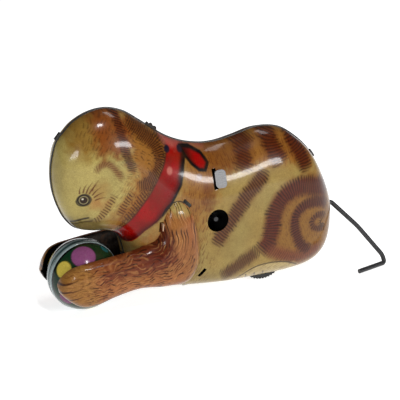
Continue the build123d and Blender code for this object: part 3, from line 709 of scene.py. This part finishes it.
def pressed(b, grid, wall, paint, holes, clamp=None):
    """Adds a walled sheet to b: the grid with its holes cut, an inner skin and the cut edges.

    Each hole is a signed distance at given points, and clamp is a surface to stay outside."""
    n, m = grid.shape[:2]
    du, dv = np.gradient(grid, axis=0), np.gradient(grid, axis=1)
    normal = np.cross(dv, du)
    normal /= np.linalg.norm(normal, axis=2, keepdims=True) + 1e-9
    if normal[n // 2, m // 2, 1] > 0:
        normal = -normal
    outer, normal = grid.reshape(-1, 3).copy(), normal.reshape(-1, 3)
    ids = np.arange(n * m).reshape(n, m)
    quads = np.stack([ids[:-1, :-1], ids[1:, :-1], ids[1:, 1:], ids[:-1, 1:]], -1).reshape(-1, 4)
    p0, p1, p2 = (outer[quads[:, k]] for k in (0, 1, 2))
    turned = np.sum(np.cross(p1 - p0, p2 - p0) * normal[quads[:, 0]], axis=1).mean() < 0
    if turned:
        quads = quads[:, ::-1]
    for distance in holes:
        centre = outer[quads].mean(axis=1)
        gone = distance(centre) < 0
        if not gone.any():
            continue
        edge = np.intersect1d(quads[gone].ravel(), quads[~gone].ravel())
        quads = quads[~gone]
        for _ in range(2):
            p = outer[edge]
            d = distance(p)
            slope = np.stack([(distance(p + e) - d) / 0.05 for e in np.eye(3) * 0.05], 1)
            slope /= np.linalg.norm(slope, axis=1, keepdims=True) + 1e-9
            outer[edge] = p - slope * np.clip(d, -0.6, 0.6)[:, None]
    if clamp is not None:
        limit = -clamp(outer[:, 0], outer[:, 2]) - 0.25
        outer[:, 1] = np.where(-outer[:, 1] < limit, -limit, outer[:, 1])
    inner = outer - normal * wall
    inner[:, 1] = np.minimum(inner[:, 1], outer[:, 1].max())
    total = len(outer)
    directed = np.concatenate([quads[:, [k, (k + 1) % 4]] for k in range(4)])
    key = directed[:, 0] * total + directed[:, 1]
    back = directed[:, 1] * total + directed[:, 0]
    rim = directed[~np.isin(key, back)]
    rims = np.stack([rim[:, 1], rim[:, 0], rim[:, 0] + total, rim[:, 1] + total], 1)
    faces = np.concatenate([quads, quads[:, ::-1] + total, rims])
    kinds = [0] * len(quads) + [1] * (len(quads) + len(rims))
    used = np.unique(faces)
    index = np.zeros(2 * total, int)
    index[used] = np.arange(len(used))
    every = np.concatenate([outer, inner])[used]
    colour = paint(outer[:, 0], outer[:, 2])
    b.add(every, index[faces], kinds, np.concatenate([colour, colour])[used])
    for row in (0, n - 1):
        ring = [tuple(p) for p in grid[row]]
        ring = ring[::-1] if (row == 0) != turned else ring
        b.add(ring, [tuple(range(len(ring)))], 0, colour[ids[row]])


FAR = 99                  # keeps a hole off the far parts of a shell


def box_hole(x, z, wide, high, lean):
    """A slot through the side at x and z, turned by lean degrees."""
    c, s = math.cos(math.radians(lean)), math.sin(math.radians(lean))

    def distance(p):
        u = (p[:, 0] - x) * c - (p[:, 2] - z) * s
        v = (p[:, 0] - x) * s + (p[:, 2] - z) * c
        dx, dz = np.abs(u) - wide / 2, np.abs(v) - high / 2
        return np.maximum(dx, dz) + np.where(p[:, 1] < -6, 0, FAR)
    return distance


def floor_hole(x0, x1, y0, y1, top):
    """An opening in the belly, through what lies below top."""
    def distance(p):
        dx = np.abs(p[:, 0] - (x0 + x1) / 2) - (x1 - x0) / 2
        dy = np.abs(p[:, 1] - (y0 + y1) / 2) - (y1 - y0) / 2
        return np.maximum(dx, dy) + np.where(p[:, 2] < top, 0, FAR)
    return distance


def round_hole(across, u, v, r, beyond):
    """A hole round the point (u, v) of two of the axes, where beyond says so."""
    return lambda p: (np.hypot(p[:, across[0]] - u, p[:, across[1]] - v) - r
                      + np.where(beyond(p), 0, FAR))


drive_x = middle("drive_axle").x - ORIGIN[0]
key_at = middle("great_wheel") - Vector(ORIGIN)
tail_z = middle("tail_pinion").z - ORIGIN[2]
both_holes = [
    box_hole(42.6, 51.6, 2.2, 6.2, 6), box_hole(59.8, 63.7, 2.2, 6.2, -44),
    box_hole(70.9, 15.9, 2.2, 6.2, 36),
    floor_hole(drive_x - 14.5, drive_x + 14.5, -11.9, -7, 20),
    floor_hole(62.6, 69.4, -7.6, -6, 8), floor_hole(88.6, 95.4, -7.6, -6, 8),
    round_hole((1, 2), 0, tail_z, 3.5, lambda p: p[:, 0] > 160)]
left_holes = [round_hole((0, 2), key_at.x, key_at.z, KEYHOLE_R, lambda p: p[:, 1] < -10),
              box_hole(79.7, 74.8, 2.6, 12, 0)]

outline = np.concatenate([body_rows[:, 0:2], body_rows[::-1, 2:4]])
ahead = np.roll(outline, -1, axis=0) - np.roll(outline, 1, axis=0)
ahead /= np.linalg.norm(ahead, axis=1, keepdims=True) + 1e-9
away = np.stack([-ahead[:, 1], ahead[:, 0]], 1)
if np.sum(away[len(away) // 4] * (outline[len(away) // 4] - outline.mean(axis=0))) < 0:
    away = -away


def lip(b):
    """The rim that stands out along the seam, rounded at its edges, coloured black as painted shade of the
    gap along the seam.
    """
    steps = [(-0.30, -SEAM_WIDE), (0.50, -SEAM_WIDE), (0.70, -0.38), (SEAM_HIGH, -0.2), (SEAM_HIGH, 0.0),
             (-0.30, 0.0)]
    pts, faces, n, k = [], [], len(outline), len(steps)
    for (x, z), (ax, az) in zip(outline, away):
        pts += [(x + ax * h, y, z + az * h) for h, y in steps]
    for i in range(n):
        for j in range(k):
            a, c = i * k + j, ((i + 1) % n) * k + j
            e, g = i * k + (j + 1) % k, ((i + 1) % n) * k + (j + 1) % k
            faces.append((a, c, g, e))
    b.add(pts, faces, 2, INK)


for name, node, flip, holes in (("body_left", "left_body_shell", False, both_holes + left_holes),
                                ("body_right", "right_body_shell", True, both_holes)):
    b = Builder()
    pressed(b, body_grid, TIN, paint_body, holes)
    lip(b)
    b.make(name, [MAT_BODY, MAT_BARE_SHADE, MAT_SEAM_SHADE], flip, "housing", node)


def revolved(b, profile, kinds, paint, around=192):
    """Adds a closed profile of (radius, y) turned about the ball's axle."""
    n = len(profile)
    a = np.linspace(0, 2 * math.pi, around, endpoint=False)
    pts = np.array([[(r * math.cos(t), y, BALL_R + r * math.sin(t)) for r, y in profile] for t in a])
    faces = [(i * n + j, i * n + (j + 1) % n, ((i + 1) % around) * n + (j + 1) % n,
              ((i + 1) % around) * n + j) for i in range(around) for j in range(n)]
    pts = pts.reshape(-1, 3)
    b.add(pts, faces, list(kinds) * around, paint(pts))


def leg_tab(b):
    """The tab at a front leg's front edge that stands in the body's slot."""
    x, z, half_wide, half_high, lean = 43.4, 51.6, 0.25, 2.2, math.radians(6)
    c, s = math.cos(lean), math.sin(lean)
    points = [(x + u * c + v * s, y, z - u * s + v * c) for y in (-22.8, -18)
              for u, v in ((-half_wide, -half_high), (half_wide, -half_high), (half_wide, half_high),
                           (-half_wide, half_high))]
    b.add(points, [(0, 1, 2, 3), (7, 6, 5, 4), (0, 4, 5, 1), (1, 5, 6, 2), (2, 6, 7, 3), (3, 7, 4, 0)], 0,
          lin(214, 176, 150))


for name, node, flip in (("arm_left", "left_arm", False), ("arm_right", "right_arm", True)):
    b = Builder()
    pressed(b, arm_grid, TIN, paint_arm, [], depth_of_body)
    cup = [(1.25, -22.6), (2.4, -22.3), (2.4, -25.6), (1.25, -25.6)]
    revolved(b, cup, [1] * 4, lambda p: np.tile(INK, (len(p), 1)), 48)
    leg_tab(b)
    b.make(name, [MAT_ARM, MAT_BARE_SHADE], flip, "housing", node)

# Dots of the ball's print: a direction from its middle, radius, colour
DOTS = (((-3.9, -12.4, 17.0), 7.4, lin(150, 84, 140)), ((-15.6, -10.2, 9.4), 5.2, lin(232, 212, 96)),
        ((14.5, -12.5, 8.5), 3.4, lin(176, 96, 44)), ((14, -14, -8.0), 5.0, lin(24, 104, 110)),
        ((0, -19.5, -8.5), 5.4, lin(150, 50, 40)), ((-15.5, -12.0, -8.5), 4.6, lin(124, 62, 112)),
        ((3.0, -9.5, -18.9), 4.6, lin(176, 158, 40)), ((12.0, -6.5, 16.4), 3.0, lin(24, 104, 110)))


def paint_ball(pts):
    """Colours of the ball: a printed green ground with dots and a pale band along its seam, edged by a black
    ring of painted shade.
    """
    p = pts - np.array([0, 0, BALL_R])
    r = Print(p[:, 0], p[:, 2], lin(14, 60, 34))
    r.lay(lin(8, 34, 22), 0.5 * cloud(p[:, 0], p[:, 2], 6, 41))
    unit = p / (np.linalg.norm(p, axis=1, keepdims=True) + 1e-9)
    for at, size, colour in DOTS:
        at = np.array(at) / np.linalg.norm(at)
        d = BALL_R * np.arccos(np.clip(unit @ at, -1, 1))
        r.lay(colour, fade(d, size, 0.6))
        r.lay(INK, fade(np.abs(d - size), 0.22, 0.4) * 0.5)
    seam = -p[:, 1]
    # painted shade: a black ring where the dome meets the band, for the shadow of the lip's edge
    r.lay(INK, fade(np.abs(seam - 4.3), 0.75, 0.5))
    r.lay(lin(168, 190, 200), fade(seam, 3.6, 0.4))
    r.lay(lin(20, 66, 70), fade(seam, 1.1, 0.4))
    return r.rgb


inner_r = BALL_R - BALL_TIN
for name, node, flip in (("ball_left", "ball_half_left", False), ("ball_right", "ball_half_right", True)):
    b = Builder()
    arc = np.linspace(math.asin(AXLE_HOLE_R / BALL_R), math.acos(3.3 / BALL_R), 96)
    outside = [(BALL_R * math.sin(t), -BALL_R * math.cos(t)) for t in arc]
    outside += [(21.28, -3.2), (21.38, -3.05), (BALL_R, -2.8), (BALL_R, -1.9), (BALL_R, -1.0),
                (BALL_R, -0.12)]
    inside_ = [(21.3, 0.0), (20.7, 0.0), (20.6, -3.3)]
    inside_ += [(inner_r * math.sin(t), -inner_r * math.cos(t)) for t in arc[::-1][4::6]]
    inside_ += [(AXLE_HOLE_R, -20.7)]
    revolved(b, outside + inside_, [0] * len(outside) + [1] * len(inside_), paint_ball)
    b.make(name, [MAT_BALL, MAT_BARE_SHADE], flip, "ball", node)

# ---------------------------------------------------------------- carried-over nodes
slots = {s["node"]: s["material_slot"] for s in frame["record"]["subparts"]}
for node, obj in NODES.items():
    if slots.get(node) in MATERIALS:
        obj.data.materials.clear()
        # the arbor's end gets the tail's black, as painted shade inside the keyhole
        obj.data.materials.append(MATERIALS["tail_black" if node == "winding_arbor" else slots[node]])

# ---------------------------------------------------------------- floor, lights, camera
floor_mesh = bpy.data.meshes.new("floor")
floor_mesh.from_pydata([(-6, -4, 0), (6, -4, 0), (6, 9, 0), (-6, 9, 0)], [], [(0, 1, 2, 3)])
floor = bpy.data.objects.new("floor", floor_mesh)
bpy.context.collection.objects.link(floor)
floor_material, t, bsdf = nodes_of("floor_white")
speck = noise(t, 9, 3, 0.5)
tone = ramp(t, speck.outputs["Fac"], (0.2, (0.86, 0.86, 0.86)), (0.8, (0.9, 0.9, 0.9)))
t.links.new(tone.outputs["Color"], bsdf.inputs["Base Color"])
bsdf.inputs["Roughness"].default_value = 0.8
bsdf.inputs["Emission Color"].default_value = (1, 1, 1, 1)
bsdf.inputs["Emission Strength"].default_value = 0.72
floor_mesh.materials.append(floor_material)

world = bpy.data.worlds.new("studio")
bpy.context.scene.world = world
world.use_nodes = True
background = world.node_tree.nodes["Background"]
background.inputs["Color"].default_value = (0.95, 0.97, 1.0, 1)
background.inputs["Strength"].default_value = 0.08


def towards(azimuth, elevation):
    """A direction from degrees round from the cat's left side (-Y) towards its tail, and up."""
    a, e = math.radians(azimuth), math.radians(elevation)
    return Vector((math.sin(a) * math.cos(e), -math.cos(a) * math.cos(e), math.sin(e)))


def area(name, azimuth, elevation, reach, wide, high, power):
    """A rectangular lamp aimed at the toy's middle."""
    aim = Vector((0, 0, 0.06))
    at = aim + towards(azimuth, elevation) * reach
    light = bpy.data.lights.new(name, "AREA")
    light.shape, light.size, light.size_y = "RECTANGLE", wide, high
    light.energy = power
    o = bpy.data.objects.new(name, light)
    o.location = at
    o.rotation_euler = (at - aim).to_track_quat("Z", "Y").to_euler()
    bpy.context.collection.objects.link(o)


area("key_soft", 1, 58, 1.3, 0.16, 0.16, 6.5)
area("front_soft", -40, 16, 1.25, 0.26, 0.2, 4.5)
area("low_strip", 28, 16, 1.2, 0.42, 0.13, 8)
area("top_soft", 112, 64, 1.4, 0.7, 0.25, 4)

camera = bpy.data.cameras.new("camera")
camera.lens, camera.sensor_width = 150, 36
camera.clip_end = 50
cam = bpy.data.objects.new("camera", camera)
bpy.context.collection.objects.link(cam)
cam.location = (-0.4271, -0.8529, 0.4207)
cam.rotation_euler = towards(-26, 21).to_track_quat("Z", "Y").to_euler()
bpy.context.scene.camera = cam
bpy.context.scene.view_settings.view_transform = "Standard"
